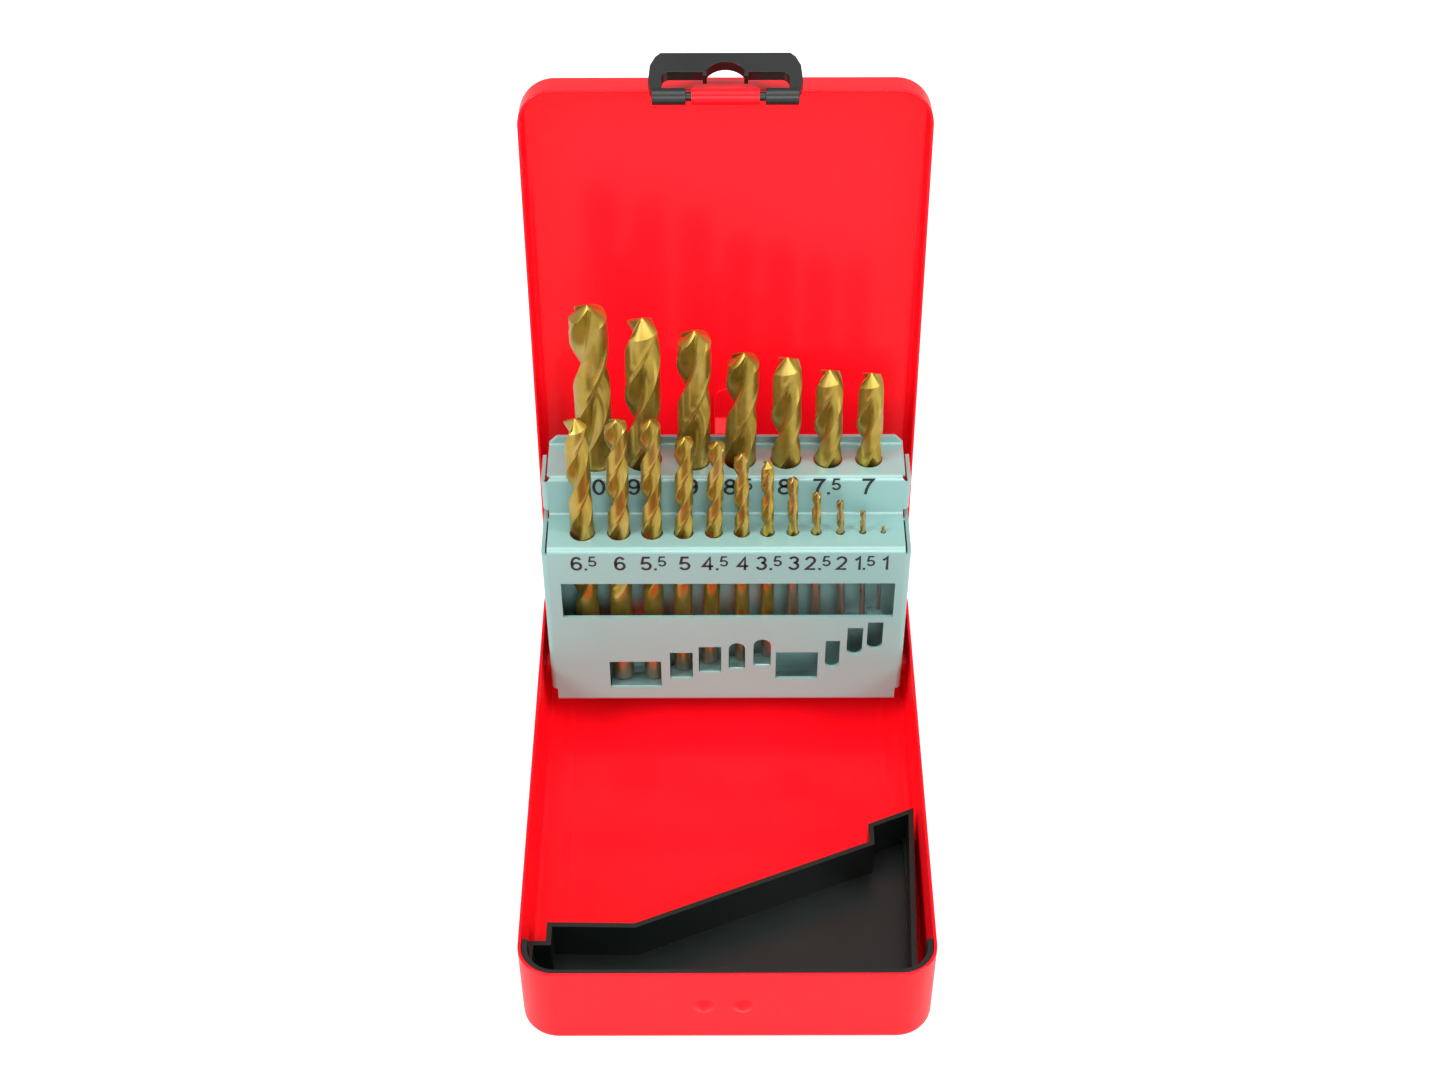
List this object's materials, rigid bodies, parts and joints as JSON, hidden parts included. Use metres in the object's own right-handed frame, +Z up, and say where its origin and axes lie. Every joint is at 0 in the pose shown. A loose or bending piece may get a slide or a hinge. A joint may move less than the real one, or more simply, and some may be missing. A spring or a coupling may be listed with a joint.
{
  "type": "drill bit case",
  "caption": "Red sheet-metal case standing open, with nineteen twist drills of 1 to 10 mm upright in a stepped rack, a wire-bail lid latch and a small storage insert.",
  "frame": {"origin": "middle of the base's underside", "axes": "+Z up, +Y from the front of the case towards the hinge, +X to the right as seen from the front"},
  "size_m": [0.1056, 0.1766, 0.1813],
  "materials": {
    "red_enamel": "gloss enamel on sheet steel",
    "rack_paint": "satin pale grey-blue paint on sheet steel",
    "black_plastic": "satin moulded polypropylene",
    "gold_coating": "satin titanium nitride coating on high-speed steel",
    "bare_steel": "bare bright steel"
  },
  "bodies": {
    "base": {"base_shell": "red_enamel", "storage_insert": "black_plastic", "rack_pivots": "red_enamel", "hinge_pin": "bare_steel"},
    "lid": {"lid_shell": "red_enamel", "lid_strap": "red_enamel"},
    "bail": {"latch_bail": "black_plastic"},
    "rack": {"drill_rack": "rack_paint", "rack_divider": "rack_paint"},
    "drill_10_0": {"drill_10_0": "gold_coating"},
    "drill_9_5": {"drill_9_5": "gold_coating"},
    "drill_9_0": {"drill_9_0": "gold_coating"},
    "drill_8_5": {"drill_8_5": "gold_coating"},
    "drill_8_0": {"drill_8_0": "gold_coating"},
    "drill_7_5": {"drill_7_5": "gold_coating"},
    "drill_7_0": {"drill_7_0": "gold_coating"},
    "drill_6_5": {"drill_6_5": "gold_coating"},
    "drill_6_0": {"drill_6_0": "gold_coating"},
    "drill_5_5": {"drill_5_5": "gold_coating"},
    "drill_5_0": {"drill_5_0": "gold_coating"},
    "drill_4_5": {"drill_4_5": "gold_coating"},
    "drill_4_0": {"drill_4_0": "gold_coating"},
    "drill_3_5": {"drill_3_5": "gold_coating"},
    "drill_3_0": {"drill_3_0": "gold_coating"},
    "drill_2_5": {"drill_2_5": "gold_coating"},
    "drill_2_0": {"drill_2_0": "bare_steel"},
    "drill_1_5": {"drill_1_5": "bare_steel"},
    "drill_1_0": {"drill_1_0": "bare_steel"}
  },
  "joints": [
    {"name": "lid_hinge", "type": "hinge", "parent": "base", "child": "lid", "pos_m": [0, 0.07275, 0.0282], "axis": [-1, 0, 0], "range_deg": [-98, 0]},
    {"name": "rack_pivot", "type": "hinge", "parent": "base", "child": "rack", "pos_m": [0, 0.04985, 0.0149], "axis": [-1, 0, 0], "range_deg": [-90, 0]},
    {"name": "bail_hinge", "type": "hinge", "parent": "lid", "child": "bail", "pos_m": [0, 0.08345, 0.1762], "axis": [-1, 0, 0], "range_deg": [-155, 0]},
    {"name": "drill_10_0_slide", "type": "slide", "parent": "rack", "child": "drill_10_0", "axis": [0, 0, 1], "range_m": [0, 0.082]},
    {"name": "drill_9_5_slide", "type": "slide", "parent": "rack", "child": "drill_9_5", "axis": [0, 0, 1], "range_m": [0, 0.082]},
    {"name": "drill_9_0_slide", "type": "slide", "parent": "rack", "child": "drill_9_0", "axis": [0, 0, 1], "range_m": [0, 0.082]},
    {"name": "drill_8_5_slide", "type": "slide", "parent": "rack", "child": "drill_8_5", "axis": [0, 0, 1], "range_m": [0, 0.082]},
    {"name": "drill_8_0_slide", "type": "slide", "parent": "rack", "child": "drill_8_0", "axis": [0, 0, 1], "range_m": [0, 0.082]},
    {"name": "drill_7_5_slide", "type": "slide", "parent": "rack", "child": "drill_7_5", "axis": [0, 0, 1], "range_m": [0, 0.082]},
    {"name": "drill_7_0_slide", "type": "slide", "parent": "rack", "child": "drill_7_0", "axis": [0, 0, 1], "range_m": [0, 0.082]},
    {"name": "drill_6_5_slide", "type": "slide", "parent": "rack", "child": "drill_6_5", "axis": [0, 0, 1], "range_m": [0, 0.058]},
    {"name": "drill_6_0_slide", "type": "slide", "parent": "rack", "child": "drill_6_0", "axis": [0, 0, 1], "range_m": [0, 0.055]},
    {"name": "drill_5_5_slide", "type": "slide", "parent": "rack", "child": "drill_5_5", "axis": [0, 0, 1], "range_m": [0, 0.055]},
    {"name": "drill_5_0_slide", "type": "slide", "parent": "rack", "child": "drill_5_0", "axis": [0, 0, 1], "range_m": [0, 0.052]},
    {"name": "drill_4_5_slide", "type": "slide", "parent": "rack", "child": "drill_4_5", "axis": [0, 0, 1], "range_m": [0, 0.05]},
    {"name": "drill_4_0_slide", "type": "slide", "parent": "rack", "child": "drill_4_0", "axis": [0, 0, 1], "range_m": [0, 0.048]},
    {"name": "drill_3_5_slide", "type": "slide", "parent": "rack", "child": "drill_3_5", "axis": [0, 0, 1], "range_m": [0, 0.047]},
    {"name": "drill_3_0_slide", "type": "slide", "parent": "rack", "child": "drill_3_0", "axis": [0, 0, 1], "range_m": [0, 0.041]},
    {"name": "drill_2_5_slide", "type": "slide", "parent": "rack", "child": "drill_2_5", "axis": [0, 0, 1], "range_m": [0, 0.041]},
    {"name": "drill_2_0_slide", "type": "slide", "parent": "rack", "child": "drill_2_0", "axis": [0, 0, 1], "range_m": [0, 0.037]},
    {"name": "drill_1_5_slide", "type": "slide", "parent": "rack", "child": "drill_1_5", "axis": [0, 0, 1], "range_m": [0, 0.032]},
    {"name": "drill_1_0_slide", "type": "slide", "parent": "rack", "child": "drill_1_0", "axis": [0, 0, 1], "range_m": [0, 0.03]}
  ],
  "couplings": [
    {"joint": "rack_pivot", "follows": "lid_hinge", "ratio": 0.91837}
  ]
}
